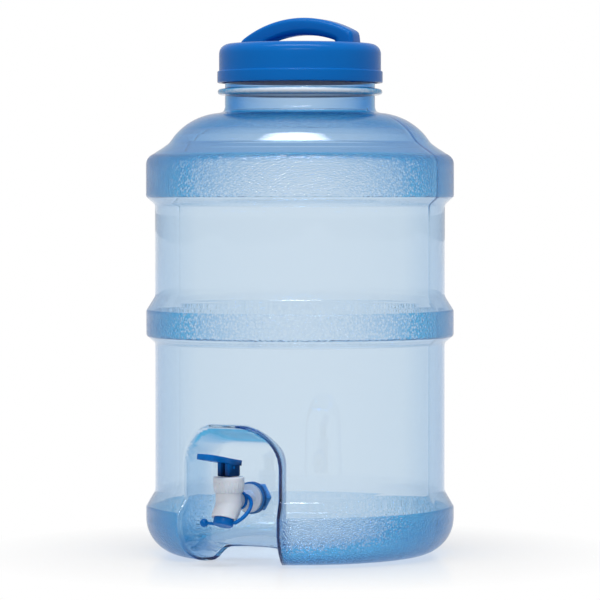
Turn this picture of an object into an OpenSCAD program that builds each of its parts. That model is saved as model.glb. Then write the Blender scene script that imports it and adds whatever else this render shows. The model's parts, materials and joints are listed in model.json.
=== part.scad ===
// Blow-moulded water carboy with a screw cap, a moulded carry handle and a lever tap in a niche.
// Millimetres. +Z up, the bottle's axis is Z, the floor is z = 0 and the tap faces -Y.

/* [Bottle body] */
// Radius of the rib and of the shoulder band
band_r = 135.1; // [125:0.5:150]
// How far the foot band stands out past the other bands
foot_out = 0.3; // [0:0.1:2]
// How far the plain wall lies inside the bands
wall_step = 7.8; // [4:0.1:12]
// Thickness of the blown wall
wall_t = 2.4; // [1.6:0.1:3.2]
// Radius of the rounded foot corner
foot_corner = 32; // [28:1:36]
// Top of the foot band
foot_top = 42; // [41:0.5:46]
// Height of the sloped step over the foot band
foot_slope = 14; // [10:0.5:18]
// Width of the flat ring that the bottle stands on
foot_ring = 5; // [3:0.5:8]
// Width of the curl between that ring and the raised middle of the base
punt_curl = 13; // [11:0.5:18]
// Height of the raised base at its edge
punt_rise = 11; // [8:0.5:14]
// Extra rise of the base at its middle
punt_dome = 4; // [1:0.5:8]

/* [Rib] */
// Height at which the rib starts
rib_z = 185.5; // [170:0.5:200]
// Height of the rib's lower slope
rib_lower = 6.5; // [4:0.5:10]
// Height of the rib's straight face
rib_face = 22; // [14:0.5:30]
// Height of the rib's upper slope
rib_upper = 12.5; // [6:0.5:16]

/* [Shoulder and dome] */
// Height at which the shoulder band starts
shoulder_z = 306.5; // [290:0.5:320]
// Height of the slope under the shoulder band
shoulder_lower = 7; // [4:0.5:10]
// Height of the straight face of the shoulder band
shoulder_face = 28.5; // [20:0.5:32]
// Radius of the shoulder band's top edge
shoulder_edge = 9.5; // [6:0.5:12]
// How far the foot of the dome lies inside the bands
dome_in = 20.1; // [17.5:0.5:26]
// Height of the dome's foot above the shoulder band's face
dome_foot = 18.5; // [16:0.5:24]
// How far the dome's top lies outside the neck
dome_top_out = 5.4; // [4:0.1:9]
// Height of the dome above its foot
dome_h = 26.5; // [24:0.5:32]
// How far the lip round the dome's foot stands out
dome_lip = 5.8; // [3:0.1:8]
// How far the dome bows out of a straight line
dome_bow = 6.2; // [2:0.1:8]

/* [Neck] */
// Outer radius of the neck
neck_r = 65.9; // [58:0.2:72]
// How far the flange stands out past the neck
flange_out = 6.3; // [4:0.1:9]
// Thickness of the flange
flange_t = 5; // [3:0.5:7]
// Height of the flange's underside above the dome
flange_z = 16; // [12:0.5:18]

/* [Niche] */
// Half the width of the niche's front
niche_half = 47; // [42:0.5:50]
// Height of the niche's arch
niche_top = 117; // [112:0.5:130]
// Radius of the arch's corners
niche_corner = 34; // [24:0.5:40]
// Depth of the niche from the wall to its flat back
niche_depth = 42.3; // [38:0.1:43]
// Half the width of the flat back
niche_flat = 20; // [18:0.5:22]
// Radius of the niche's back corners
niche_round = 22; // [18:0.5:23]
// Drop of the niche's roof from front to back
niche_drop = 13; // [6:0.5:18]
// Radius under the niche's back wall
niche_under = 15; // [10:0.5:18]

/* [Cap] */
// Room for the thread between the neck and the cap's skirt
thread_room = 3.0; // [2.4:0.1:4]
// How far the band at the skirt's foot stands out
lip_out = 1.5; // [1.2:0.1:3]
// Height of the band at the skirt's foot
lip_h = 9.9; // [6:0.1:14]
// Height of the cap without its handle
cap_h = 34.2; // [32:0.1:38]
// Gap between the flange and the cap
cap_gap = 5.4; // [3:0.1:7]
// Wall of the cap
cap_t = 2.2; // [1.6:0.1:2.6]
// Radius of the cap's top edge
cap_edge = 9; // [6:0.5:12]
// Depth of the land that the sealing ring lies against, below the cap's top
land_d = 4.6; // [4.2:0.1:5.4]
// Gap between the neck's bore and the wall of the finger well in the cap's top
well_gap = 10; // [4:0.5:14]
// Depth of the finger well
well_d = 9; // [6:0.5:11]
// Turn of the handle from the X axis, in degrees
cap_turn = 9; // [-30:1:30]
// Half the width of the sealing ring
seal_half = 3.2; // [2.5:0.1:3.2]
// Thickness of the sealing ring
seal_t = 3; // [2:0.1:4]

/* [Carry handle] */
// Outer radius of the handle's arch
handle_arc = 93; // [84:0.5:100]
// Height of the handle above the cap
handle_h = 22.6; // [20:0.1:26]
// Width of the handle
handle_w = 25; // [20:0.5:30]
// Thickness of the handle at its crown
handle_t = 15; // [11:0.2:16]
// Shift of the handle's arch and of its gap along the handle
handle_shift = 5; // [0:0.5:6]
// Radius of the finger gap's arch
gap_arc = 92; // [84:1:110]
// Half the length of the finger gap
gap_half = 31; // [28:0.5:32]
// Half the length of the handle
handle_half = 52; // [50:0.5:54]
// Radius of the handle's edges
handle_edge = 5; // [3:0.5:7]

/* [Tap body] */
// Height of the tap's inlet
tap_z = 55; // [54:0.5:60]
// Distance of the tap's barrel from the back of the niche
tap_reach = 38; // [36:0.5:40]
// Outer radius of the barrel
barrel_r = 11.2; // [10.6:0.1:11.4]
// Radius of the valve chamber
chamber_r = 8.2; // [7.8:0.1:8.4]
// Height of the barrel above the inlet
barrel_top = 17; // [15:0.5:19]
// Depth of the valve seat below the inlet
seat_drop = 5; // [5:0.1:6]
// Radius of the hole in the valve seat
seat_r = 6; // [5:0.1:6.6]
// Radius of the neck between barrel and flange
tap_neck_r = 7.2; // [6.5:0.1:7.4]
// Radius of the shank through the bottle's wall
shank_r = 9; // [8:0.1:9.5]
// Length of the shank behind its flange
shank_l = 20; // [18:0.5:26]
// Radius of the tap's flange
tap_flange_r = 12.3; // [12:0.1:14]
// Thickness of the tap's flange
tap_flange_t = 3; // [2:0.1:4]
// Radius of the water way in the shank
way_r = 4.4; // [3.5:0.1:4.5]
// Bend of the spout away from the barrel, in degrees
spout_bend = 45; // [30:1:50]
// Bend of the spout back towards the floor, in degrees
spout_back = 25; // [15:1:30]
// Radius of both bends
bend_r = 12; // [11.6:0.1:14]
// Radius of the outlet's bore
outlet_r = 7.2; // [6.8:0.1:7.8]
// Depth of the outlet's bore
outlet_d = 5; // [4:0.1:5.4]

/* [Tap fittings] */
// Radius of the rubber washers
washer_r = 13.9; // [13:0.1:15]
// Thickness of the rubber washers
washer_t = 2; // [1:0.1:3]
// Radius over the corners of the lock nut
nut_r = 13; // [12:0.1:15]
// Thickness of the lock nut
nut_t = 9.5; // [6:0.1:11]
// Outer radius of the bonnet
bonnet_r = 13.3; // [12.5:0.1:13.5]
// How far the bonnet's foot stands out past the barrel
bonnet_foot = 0.9; // [0.8:0.1:1.4]
// Height of the bonnet
bonnet_h = 13.4; // [12:0.1:14]
// Thickness of the bonnet's top
bonnet_t = 4; // [3.6:0.1:5]

/* [Valve] */
// Radius of the stem
stem_r = 3; // [2.6:0.1:3.4]
// Thickness of the stem's flat eye
eye_t = 4; // [3:0.1:4.4]
// Depth of the eye's foot below the bonnet's top
eye_down = 1.2; // [1:0.1:2]
// Radius of the stem's foot
stem_foot_r = 4.4; // [4:0.1:5]
// Height of the plug
plug_h = 6; // [5.4:0.1:7]
// Radius of the seal ring's section
ring_r = 0.9; // [0.7:0.05:1]
// Radius of the spring's wire
wire_r = 0.5; // [0.4:0.05:0.6]
// Turns of the spring
spring_turns = 5; // [3:1:7]

/* [Lever] */
// Turn of the lever about the barrel, in degrees
lever_turn = -10; // [-30:1:30]
// Width of the lever's hub
hub_w = 12; // [10:0.5:13]
// Half the length of the lever's hub
hub_half = 7.5; // [7:0.1:8]
// Height of the pin above the bonnet
pin_h = 8; // [7.6:0.1:9]
// Radius of the pin
pin_r = 1.25; // [1:0.05:1.4]
// Height of the hub's top above the pin
hub_up = 4.8; // [4.6:0.1:6]
// Reach of the lever in front of the barrel
lever_reach = 35; // [28:0.5:40]
// Reach of the lever behind the barrel
lever_tail = 9.6; // [9:0.1:11]
// Width of the lever's paddle
paddle_w = 18; // [14:0.5:22]
// Thickness of the paddle
paddle_t = 4.6; // [3:0.1:6]
// Rise of the paddle towards its tip, in degrees
paddle_rise = 10; // [6:1:14]

/* [Dust cap] */
// Radius of the dust cap
dust_r = 8.7; // [8:0.1:10]
// Height of the dust cap below the spout
dust_h = 6.4; // [5:0.1:9]
// Length of the dust cap's plug
dust_plug = 3.6; // [2.5:0.1:3.8]
// Distance of the pull tab's ball from the dust cap's axis
tab_reach = 17.5; // [14:0.1:20]
// Radius of the pull tab's ball
tab_ball = 3.6; // [2.5:0.1:4.2]
// Height of the pull tab's middle above the dust cap's foot
tab_up = 1.3; // [1.3:0.1:3]
// Direction of the pull tab, in degrees from -X
tab_turn = 8; // [0:1:40]
// Thickness of the tether's strap
tether_t = 3.4; // [2.4:0.1:3.8]
// Thickness of the tether's ring round the tap's neck
tether_ring_t = 1.4; // [1:0.1:2]
// Width of the tether's ring along the tap's neck
tether_ring_w = 3; // [2:0.1:4]
// How far the tether bows out sideways
tether_bow = 18; // [16:0.5:20]

/* [Hidden] */
// Gap between pieces that turn or slide on each other
fit = 0.05;
// Gap between pieces that only lie side by side
loose = 0.15;
// Gap kept between curved pieces on different bodies
clear = 0.3;
// Overlap of a cut past the face that it opens
cut = 1;
// Small corner taken off moulded edges
corner = 1;
$fn = 72;

// Heights and radii worked out from the sizes above
wall_r = band_r - wall_step;
foot_r = band_r + foot_out;
ring_in = foot_r - foot_corner - foot_ring;
punt_r = ring_in - punt_curl;
niche_back = wall_r - niche_depth;
dome_r = band_r - dome_in;
flange_r = neck_r + flange_out;
cap_r = neck_r + thread_room + cap_t;
lip_r = cap_r + lip_out;
well_r = neck_r - wall_t - well_gap - cap_t;
rib_top = rib_z + rib_lower + rib_face + rib_upper;
shoulder_face_z = shoulder_z + shoulder_lower + shoulder_face;
dome_z = shoulder_face_z + dome_foot;
neck_z = dome_z + dome_h;
flange_top = neck_z + flange_z + flange_t;
cap_z = flange_top + cap_gap;
deck_z = cap_z + cap_h;
rim_z = deck_z - land_d - seal_t;
barrel_y = -(niche_back + tap_reach);
seat_z = tap_z - seat_drop;
barrel_top_z = tap_z + barrel_top;
bonnet_top_z = barrel_top_z + bonnet_t;
pin_z = bonnet_top_z + pin_h;
hub_gap = 0.4;
plug_top_z = seat_z + plug_h;

// Points of an arc about (cx, cy), from angle a0 to a1 in n steps
function arc(cx, cy, r, a0, a1, n = 8) =
    [for (i = [0:n]) [cx + r * cos(a0 + (a1 - a0) * i / n), cy + r * sin(a0 + (a1 - a0) * i / n)]];

// Left-hand normal of the step from p to q
function side(p, q) = let (d = q - p, l = norm(d)) [-d[1] / l, d[0] / l];

// Points of the arc from p to q that bows out by h to the right of the way from p to q
function bow(p, q, h, n = 8) =
    let (half = norm(q - p) / 2, r = (half * half + h * h) / (2 * h), mid = (p + q) / 2 + (r - h) * side(p, q),
         a = atan2(p[1] - mid[1], p[0] - mid[0]), b = atan2(q[1] - mid[1], q[0] - mid[0]))
    arc(mid[0], mid[1], r, a, b, n);

// The same open line moved inwards by t, with mitred corners
function inset(p, t) = let (n = len(p)) [for (i = [0:n - 1])
    let (a = i > 0 ? side(p[i - 1], p[i]) : side(p[0], p[1]),
         b = i < n - 1 ? side(p[i], p[i + 1]) : a)
    p[i] + (a + b) * t / (1 + a * b)];

// Outer line of the bottle from the edge of the raised base to the neck's rim, without the flange
function bottle_line() =
    let (curl = 9, dome_lip_drop = 4.2, neck_root = 1.2, neck_root_low = 1, neck_root_high = 3)
    concat(
        [[punt_r, punt_rise]],
        arc(ring_in, curl, curl, 200, 270, 5),
        arc(foot_r - foot_corner, foot_corner, foot_corner, -90, 0, 9),
        [[foot_r, foot_top], [wall_r, foot_top + foot_slope]],
        [[wall_r, rib_z], [band_r, rib_z + rib_lower],
         [band_r, rib_z + rib_lower + rib_face], [wall_r, rib_top]],
        [[wall_r, shoulder_z], [band_r, shoulder_z + shoulder_lower]],
        arc(band_r - shoulder_edge, shoulder_face_z, shoulder_edge, 0, 56, 5),
        [[dome_r + dome_lip, dome_z - dome_lip_drop]],
        bow([dome_r, dome_z], [neck_r + dome_top_out, neck_z], dome_bow),
        [[neck_r + neck_root, neck_z + neck_root_low], [neck_r, neck_z + neck_root_high], [neck_r, rim_z]]);

module bottle() {
    line = bottle_line();
    inner = inset(line, wall_t);
    top = [inner[len(inner) - 1][0], rim_z + cut];
    color([0.62, 0.78, 0.92, 0.5])
    difference() {
        rotate_extrude()
            polygon(concat([[0, punt_rise + punt_dome]], line, [[0, rim_z]]));
        niche(0);
        difference() {
            rotate_extrude()
                polygon(concat([[0, punt_rise + punt_dome + wall_t]], inner, [top, [0, top[1]]]));
            niche(wall_t);
        }
        along_y(0, tap_z, -niche_back + wall_t + cut, -niche_back - cut, shank_r + clear);
    }
    color([0.62, 0.78, 0.92, 0.5])
    neck_flange();
}

// Flange that the neck is held and capped by
module neck_flange() {
    rotate_extrude()
    translate([0, neck_z + flange_z])
    polygon(concat([[neck_r - cut, 0]], arc(flange_r - flange_t / 2, flange_t / 2, flange_t / 2, -70, 70, 6),
                   [[neck_r - cut, flange_t]]));
}

// Space of the niche, grown on all sides by g
module niche(g) {
    past = 20;
    deep = foot_r + past;
    mouth_y = 5 - wall_r;
    roof = niche_top + g;
    intersection() {
        // arch, as seen from the front
        rotate([90, 0, 0])
        linear_extrude(deep)
        polygon(concat([[niche_half + g, -cut]],
                       arc(niche_half - niche_corner, niche_top - niche_corner, niche_corner + g, 0, 90),
                       arc(niche_corner - niche_half, niche_top - niche_corner, niche_corner + g, 90, 180),
                       [[-niche_half - g, -cut]]));
        // plan, with round back corners
        translate([0, 0, -2 * cut])
        linear_extrude(niche_top + past)
        polygon(concat([[niche_half + g, -deep], [niche_half + g, mouth_y]],
                       arc(niche_flat, -niche_back - niche_round, niche_round + g, 0, 90),
                       arc(-niche_flat, -niche_back - niche_round, niche_round + g, 90, 180),
                       [[-niche_half - g, mouth_y], [-niche_half - g, -deep]]));
        // section, with a falling roof
        rotate([90, 0, 90])
        linear_extrude(2 * deep, center = true)
        polygon([[-deep, -cut], [-niche_back + g, -cut], [-niche_back + g, roof - niche_drop],
                 [-wall_r, roof], [-deep, roof]]);
    }
    niche_foot(g);
}

// Space under the round foot of the niche's back wall
module niche_foot(g) {
    turn_y = niche_under - niche_back;
    turn_z = punt_rise + niche_under;
    rotate([90, 0, 90])
    linear_extrude(2 * niche_flat, center = true)
    polygon(concat([[-niche_back - cut, -cut], [-niche_back - cut, turn_z]],
                   arc(turn_y, turn_z, niche_under - g, 180, 270), [[turn_y, -cut]]));
}

// Round bar along Y at height z, from y0 to y1
module along_y(x, z, y0, y1, r) {
    translate([x, max(y0, y1), z])
    rotate([90, 0, 0])
    cylinder(r = r, h = abs(y1 - y0));
}

module screw_cap() {
    color([0.05, 0.38, 0.72])
    rotate([0, 0, cap_turn]) {
        cap_shell();
        carry_handle();
    }
}

// Hollow cap with a finger well in its top
module cap_shell() {
    floor_z = deck_z - well_d;
    land_z = deck_z - land_d;
    land_r = neck_r - wall_t / 2 - seal_half - corner;
    land_edge = 1.2;
    rotate_extrude()
    polygon(concat(
        [[0, floor_z - cap_t], [well_r + cap_t, floor_z - cap_t], [well_r + cap_t, deck_z - cap_t],
         [land_r, deck_z - cap_t], [land_r, land_z], [cap_r - cap_t - land_edge, land_z],
         [cap_r - cap_t, land_z - land_edge], [cap_r - cap_t, cap_z], [lip_r - corner, cap_z],
         [lip_r, cap_z + corner], [lip_r, cap_z + lip_h - corner], [lip_r - corner, cap_z + lip_h],
         [cap_r, cap_z + lip_h]],
        arc(cap_r - cap_edge, deck_z - cap_edge, cap_edge, 0, 90),
        [[well_r, deck_z], [well_r, floor_z], [0, floor_z]]));
}

// Arched handle, moulded in one piece with the cap and rooted in the floor of the finger well
module carry_handle() {
    root_z = deck_z - well_d - cap_t / 2;
    crown_z = deck_z + handle_h;
    intersection() {
        difference() {
            translate([handle_shift, 0, crown_z - handle_arc])
            rotate([90, 0, 0])
            handle_barrel();
            translate([handle_shift, 0, crown_z - handle_t - gap_arc])
            rotate([90, 0, 0])
            intersection() {
                cylinder(r = gap_arc, h = handle_w + 2 * cut, center = true, $fn = 120);
                cube([2 * gap_half, 4 * gap_arc, handle_w + 4 * cut], center = true);
            }
        }
        translate([-handle_half, -handle_w, root_z])
        cube([2 * handle_half, 2 * handle_w, crown_z - root_z + cut]);
        union() {
            translate([0, 0, root_z])
            cylinder(r = well_r + cap_t / 2, h = crown_z - root_z + cut);
            translate([0, 0, deck_z - cap_t / 2])
            cylinder(r = cap_r - cap_edge, h = crown_z - deck_z + cap_t);
        }
    }
}

// Solid barrel with rounded rims, whose top is the handle's back
module handle_barrel() {
    half = handle_w / 2;
    rotate_extrude($fn = 120)
    polygon(concat([[0, -half]], arc(handle_arc - handle_edge, handle_edge - half, handle_edge, -90, 0, 5),
                   arc(handle_arc - handle_edge, half - handle_edge, handle_edge, 0, 90, 5), [[0, half]]));
}

module cap_seal() {
    mid = neck_r - wall_t / 2;
    color([0.9, 0.93, 0.95])
    translate([0, 0, rim_z])
    difference() {
        cylinder(r = mid + seal_half - loose, h = seal_t - fit);
        translate([0, 0, -cut])
        cylinder(r = mid - seal_half, h = seal_t + 2 * cut);
    }
}

module tap_body() {
    throat = seat_drop + 2;
    color([0.9, 0.91, 0.9])
    difference() {
        union() {
            translate([0, barrel_y, tap_z])
            cylinder(r = barrel_r, h = barrel_top);
            spout();
            along_y(0, tap_z, barrel_y, -niche_back - washer_t, tap_neck_r);
            along_y(0, tap_z, -niche_back - washer_t - tap_flange_t, -niche_back - washer_t, tap_flange_r);
            along_y(0, tap_z, -niche_back - washer_t - tap_flange_t / 2,
                    shank_l - niche_back - washer_t, shank_r);
        }
        translate([0, barrel_y, seat_z])
        cylinder(r = chamber_r, h = barrel_top + seat_drop + cut);
        translate([0, barrel_y, seat_z - throat])
        cylinder(r = seat_r, h = throat + cut);
        at_outlet()
        translate([0, 0, -cut])
        cylinder(r = outlet_r, h = outlet_d + cut);
        along_y(0, tap_z, barrel_y, shank_l - niche_back - washer_t + cut, way_r);
    }
}

// Spout: bends away from the barrel and part of the way back
module spout() {
    p1 = bend_end(spout_bend);
    p2 = p1 + spout_straight * [0, -sin(spout_bend), -cos(spout_bend)];
    translate([0, barrel_y, tap_z]) {
        bend(spout_bend, barrel_r);
        translate(p1)
        rotate([-spout_bend, 0, 0])
        translate([0, 0, -spout_straight])
        cylinder(r = barrel_r - spout_taper, h = spout_straight);
        translate(p2)
        rotate([-spout_bend, 0, 0])
        mirror([0, 1, 0])
        bend(spout_back, barrel_r - 2 * spout_taper);
    }
}

// Straight stretch between the spout's two bends
spout_straight = 2;
// How much each stretch of the spout narrows after the one before
spout_taper = 0.1;

// Where a bend of the spout that starts at the origin ends
function bend_end(a) = bend_r * [0, cos(a) - 1, -sin(a)];

// Pipe bend of radius r from the origin, down and towards -Y
module bend(a, r) {
    translate([0, -bend_r, 0])
    rotate([-90, 0, 90])
    rotate_extrude(angle = a)
    translate([bend_r, 0])
    circle(r = r);
}

// Puts its children on the outlet: origin at its middle, +Z up the spout
module at_outlet() {
    p2 = bend_end(spout_bend) + spout_straight * [0, -sin(spout_bend), -cos(spout_bend)];
    tilt = spout_bend - spout_back;
    turn = p2 + bend_r * [0, cos(spout_bend), -sin(spout_bend)];
    translate([0, barrel_y, tap_z] + turn + bend_r * [0, -cos(tilt), sin(tilt)])
    rotate([-tilt, 0, 0])
    children();
}

// Middle of the outlet, for pieces that reach to it
function outlet_point() =
    let (p2 = bend_end(spout_bend) + spout_straight * [0, -sin(spout_bend), -cos(spout_bend)],
         tilt = spout_bend - spout_back)
    [0, barrel_y, tap_z] + p2 + bend_r * [0, cos(spout_bend) - cos(tilt), sin(tilt) - sin(spout_bend)];

module tap_bonnet() {
    ring_mid = bonnet_top_z - bonnet_t / 2;
    rim = 0.8;
    color([0.9, 0.91, 0.9])
    translate([0, barrel_y, 0])
    difference() {
        rotate_extrude()
        polygon([[0, bonnet_top_z], [bonnet_r - rim, bonnet_top_z], [bonnet_r, bonnet_top_z - rim],
                 [bonnet_r, bonnet_top_z - bonnet_t], [barrel_r + bonnet_foot, bonnet_top_z - bonnet_h],
                 [0, bonnet_top_z - bonnet_h]]);
        translate([0, 0, bonnet_top_z - bonnet_h - cut])
        cylinder(r = barrel_r + loose, h = bonnet_h - bonnet_t + cut);
        translate([0, 0, barrel_top_z - cut])
        cylinder(r = stem_r + fit, h = bonnet_t + 2 * cut);
        translate([0, 0, ring_mid - ring_r - fit])
        cylinder(r = stem_r + 2 * (fit + ring_r), h = 2 * (ring_r + fit));
    }
}

module valve_stem() {
    color([0.85, 0.86, 0.88])
    at_lever()
    difference() {
        union() {
            translate([0, 0, seat_z + plug_floor])
            cylinder(r = stem_foot_r, h = stem_foot_t);
            translate([0, 0, seat_z + plug_floor])
            cylinder(r = stem_r, h = pin_z + stem_r - seat_z - plug_floor);
        }
        for (s = [-1, 1])
            translate([s * (eye_t / 2 + stem_r), 0, bonnet_top_z - eye_down + pin_h])
            cube([2 * stem_r, 4 * stem_r, 2 * pin_h], center = true);
        translate([0, 0, pin_z])
        rotate([0, 90, 0])
        cylinder(r = pin_r + fit, h = 4 * stem_r, center = true);
    }
}

// Floor of the plug under the stem's foot, and the foot's thickness
plug_floor = 2;
stem_foot_t = 2;

module valve_plug() {
    nose = 2.5;
    color([0.75, 0.76, 0.78])
    translate([0, barrel_y, seat_z])
    difference() {
        union() {
            cylinder(r = chamber_r - clear, h = plug_h);
            translate([0, 0, -nose])
            cylinder(r1 = seat_r - clear - corner, r2 = seat_r - clear, h = nose);
        }
        translate([0, 0, plug_floor - fit])
        cylinder(r = stem_foot_r + fit, h = stem_foot_t + 2 * fit);
        translate([0, 0, plug_floor])
        cylinder(r = stem_r + fit, h = plug_h);
    }
}

module stem_seal_ring() {
    color([0.15, 0.15, 0.16])
    translate([0, barrel_y, bonnet_top_z - bonnet_t / 2])
    rotate_extrude()
    translate([stem_r + fit + ring_r, 0])
    circle(r = ring_r);
}

// Coil between the plug and the bonnet
module closing_spring() {
    sides = 8;
    rings = 12 * spring_turns;
    flat = 0.12;
    coil_r = (stem_r + chamber_r) / 2;
    low = plug_top_z + fit + wire_r;
    high = barrel_top_z - fit - wire_r;
    points = [for (i = [0:rings]) for (k = [0:sides - 1])
        let (turn = 360 * spring_turns * i / rings,
             rise = min(1, max(0, (i / rings - flat) / (1 - 2 * flat))),
             r = coil_r + wire_r * cos(360 * k / sides))
        [r * cos(turn), r * sin(turn), low + (high - low) * rise + wire_r * sin(360 * k / sides)]];
    skin = [for (i = [0:rings - 1]) for (k = [0:sides - 1])
        let (next = (k + 1) % sides)
        [i * sides + k, (i + 1) * sides + k, (i + 1) * sides + next, i * sides + next]];
    ends = [[for (k = [0:sides - 1]) k], [for (k = [sides - 1:-1:0]) rings * sides + k]];
    color([0.7, 0.71, 0.73])
    translate([0, barrel_y, 0])
    polyhedron(points, concat(skin, ends));
}

// Puts its children on the barrel's axis, turned with the lever
module at_lever() {
    translate([0, barrel_y, 0])
    rotate([0, 0, lever_turn])
    children();
}

module lever() {
    hub_z = bonnet_top_z + hub_gap;
    nose = 1.5;
    color([0.05, 0.33, 0.68])
    at_lever()
    difference() {
        union() {
            rotate([90, 0, 90])
            linear_extrude(hub_w, center = true)
            polygon(concat(arc(-hub_half + nose, hub_z + nose, nose, 180, 270, 4),
                           arc(hub_half - nose, hub_z + nose, nose, 270, 360, 4),
                           [[hub_half, pin_z + hub_up - corner], [-hub_half, pin_z + hub_up - corner]]));
            paddle();
        }
        translate([0, 0, (hub_z + pin_z + hub_up) / 2 - cut])
        cube([eye_t + 2 * clear, 2 * hub_half + 0.02, pin_z + hub_up - hub_z + 2 * cut], center = true);
        translate([0, 0, pin_z])
        rotate([0, 90, 0])
        cylinder(r = pin_r + fit / 2, h = hub_w + 2 * cut, center = true);
    }
}

// Flat paddle over the hub, wider towards its round tip
module paddle() {
    half = paddle_w / 2;
    tip = 6;
    sink = 2.2;
    root = hub_w / 2 + 0.5;
    wide_y = -hub_half - 9;
    translate([0, 0, pin_z + hub_up])
    rotate([-paddle_rise, 0, 0])
    translate([0, 0, -sink])
    linear_extrude(paddle_t)
    polygon(concat([[root, lever_tail], [-root, lever_tail], [-root, -hub_half], [-half, wide_y]],
                   arc(tip - half, tip - lever_reach, tip, 180, 270, 6),
                   arc(half - tip, tip - lever_reach, tip, 270, 360, 6),
                   [[half, wide_y], [root, -hub_half]]));
}

module lever_pin() {
    color([0.72, 0.73, 0.75])
    at_lever()
    translate([0, 0, pin_z])
    rotate([0, 90, 0])
    cylinder(r = pin_r, h = hub_w, center = true);
}

// Flat ring round the shank, with its front face at y
module shank_washer(y) {
    color([0.1, 0.35, 0.68])
    difference() {
        along_y(0, tap_z, y, y + washer_t, washer_r);
        along_y(0, tap_z, y - cut, y + washer_t + cut, shank_r + loose);
    }
}

module front_washer() {
    shank_washer(-niche_back - washer_t);
}

module back_washer() {
    shank_washer(-niche_back + wall_t);
}

module lock_nut() {
    front = -niche_back + wall_t + washer_t;
    color([0.1, 0.35, 0.68])
    difference() {
        translate([0, front, tap_z])
        rotate([-90, 0, 0])
        cylinder(r = nut_r, h = nut_t, $fn = 6);
        along_y(0, tap_z, front - cut, front + nut_t + cut, shank_r + loose);
    }
}

module dust_cap() {
    wall = 1.5;
    plug = outlet_r - clear;
    color([0.05, 0.33, 0.68])
    at_outlet() {
        rotate_extrude()
        polygon([[0, -dust_h], [dust_r - corner, -dust_h], [dust_r, corner - dust_h], [dust_r, 0], [plug, 0],
                 [plug, dust_plug], [plug - wall, dust_plug], [plug - wall, wall - dust_h],
                 [0, wall - dust_h]]);
        rotate([0, 0, 180 + tab_turn]) {
            translate([dust_r - wall / 2, 0, tab_up - dust_h])
            rotate([0, 90, 0])
            cylinder(r = tab_up, h = tab_reach - dust_r);
            translate([tab_reach, 0, tab_up - dust_h])
            sphere(r = tab_ball);
        }
    }
}

// Ring round the tap's neck with a bowed strap down to the dust cap
module dust_cap_tether() {
    ring_gap = 1.4;
    root_turn = 25;
    lean = [2, 3];
    ring_y = barrel_y + bonnet_r + ring_gap;
    ring_mid_r = tap_neck_r + loose + tether_t / 2;
    start = [ring_mid_r * cos(root_turn), ring_y + tether_ring_w / 2, tap_z + ring_mid_r * sin(root_turn)];
    tilt = spout_bend - spout_back;
    finish = outlet_point() + (dust_r + tether_t / 2 + clear) * [cos(tab_turn), sin(tab_turn) * cos(tilt), 0]
             - dust_h / 2 * [0, sin(tilt), cos(tilt)];
    middle = [tether_bow, (start[1] + finish[1]) / 2 + lean[0], (start[2] + finish[2]) / 2 + lean[1]];
    color([0.05, 0.33, 0.68]) {
        difference() {
            along_y(0, tap_z, ring_y, ring_y + tether_ring_w, tap_neck_r + loose + tether_ring_t);
            along_y(0, tap_z, ring_y - cut, ring_y + tether_ring_w + cut, tap_neck_r + loose);
        }
        strap(start, middle, finish);
    }
}

// Round strap along the circle through three points
module strap(a, b, c) {
    ab = b - a;
    ac = c - a;
    n = cross(ab, ac);
    mid = a + (cross(n, ab) * (ac * ac) + cross(ac, n) * (ab * ab)) / (2 * (n * n));
    r = norm(a - mid);
    u = (a - mid) / r;
    w = n / norm(n);
    v = cross(w, u);
    end = c - mid;
    sweep = let (s = atan2(end * v, end * u)) s < 0 ? s + 360 : s;
    multmatrix([[u[0], v[0], w[0], mid[0]], [u[1], v[1], w[1], mid[1]], [u[2], v[2], w[2], mid[2]]])
    rotate_extrude(angle = sweep)
    translate([r, 0])
    circle(r = tether_t / 2);
}

bottle();
screw_cap();
cap_seal();
tap_body();
tap_bonnet();
valve_stem();
valve_plug();
stem_seal_ring();
closing_spring();
lever();
lever_pin();
front_washer();
back_washer();
lock_nut();
dust_cap();
dust_cap_tether();
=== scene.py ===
import bpy
import bmesh
import json
import math
import numpy as np
from mathutils import Matrix, Vector


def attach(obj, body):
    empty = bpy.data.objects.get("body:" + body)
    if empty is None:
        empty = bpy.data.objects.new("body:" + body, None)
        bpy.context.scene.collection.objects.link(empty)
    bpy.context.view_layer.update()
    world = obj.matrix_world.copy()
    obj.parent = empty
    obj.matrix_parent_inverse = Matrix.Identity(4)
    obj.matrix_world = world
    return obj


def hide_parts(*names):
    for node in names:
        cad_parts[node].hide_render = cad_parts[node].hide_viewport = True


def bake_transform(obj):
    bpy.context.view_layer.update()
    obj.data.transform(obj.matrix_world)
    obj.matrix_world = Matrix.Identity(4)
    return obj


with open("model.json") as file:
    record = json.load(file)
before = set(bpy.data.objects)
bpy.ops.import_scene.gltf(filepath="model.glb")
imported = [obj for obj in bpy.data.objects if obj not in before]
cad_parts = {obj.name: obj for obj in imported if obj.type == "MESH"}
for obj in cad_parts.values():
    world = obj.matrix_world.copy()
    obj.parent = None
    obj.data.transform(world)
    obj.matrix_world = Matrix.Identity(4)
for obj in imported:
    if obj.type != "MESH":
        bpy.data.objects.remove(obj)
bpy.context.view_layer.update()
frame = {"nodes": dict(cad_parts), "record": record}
MM = 0.001

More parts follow.
